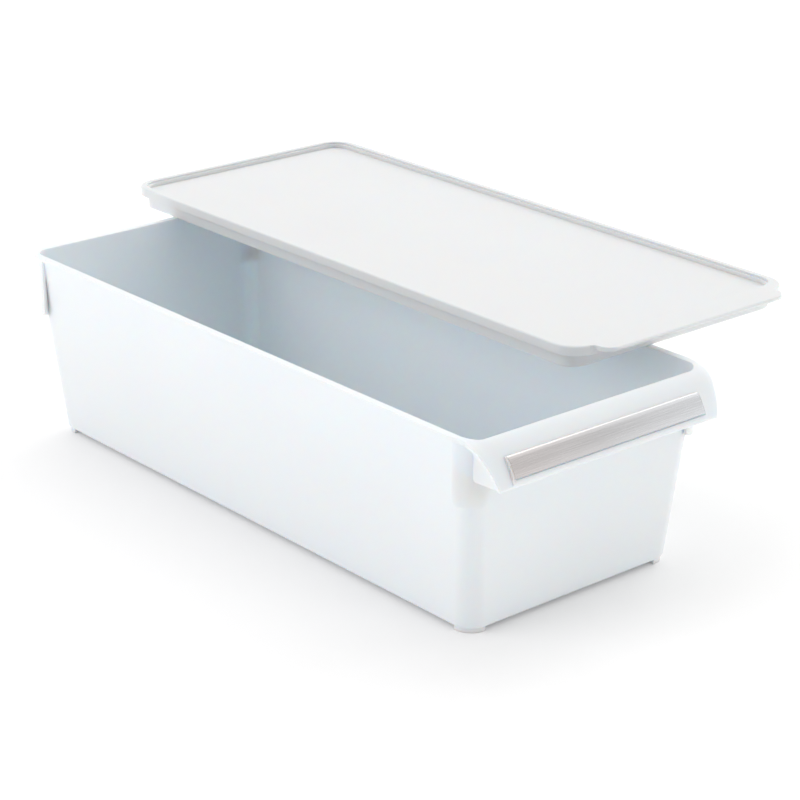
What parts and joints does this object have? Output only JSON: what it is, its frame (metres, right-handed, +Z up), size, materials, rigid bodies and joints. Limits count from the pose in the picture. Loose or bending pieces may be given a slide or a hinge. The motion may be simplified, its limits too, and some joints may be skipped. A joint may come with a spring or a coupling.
{
  "type": "storage bin with lid",
  "caption": "Long narrow storage bin for a refrigerator shelf, with a rolled front grip, a brushed label strip and a loose tray-like lid.",
  "frame": {"origin": "centre of the base, on the surface that the four feet stand on", "axes": "+Z up, +Y along the length towards the back, -Y is the front with the grip and the strip, +X to the right seen from behind the bin"},
  "size_m": [0.2405, 0.397, 0.1116],
  "materials": {
    "tub_plastic": "satin moulded polypropylene, cool white",
    "lid_plastic": "satin moulded polypropylene, slightly warmer white",
    "trim_metal": "fine brushed along its length",
    "bond_tape": "thin pale bonding tape"
  },
  "bodies": {
    "tub": {"tub": "tub_plastic", "trim_strip": "trim_metal", "trim_tape": "bond_tape"},
    "lid": {"lid": "lid_plastic"}
  },
  "joints": [
    {"name": "lid_slide", "type": "slide", "parent": "tub", "child": "lid", "axis": [-0.9398, -0.3418, 0], "range_m": [-0.07, 0.09683]}
  ]
}
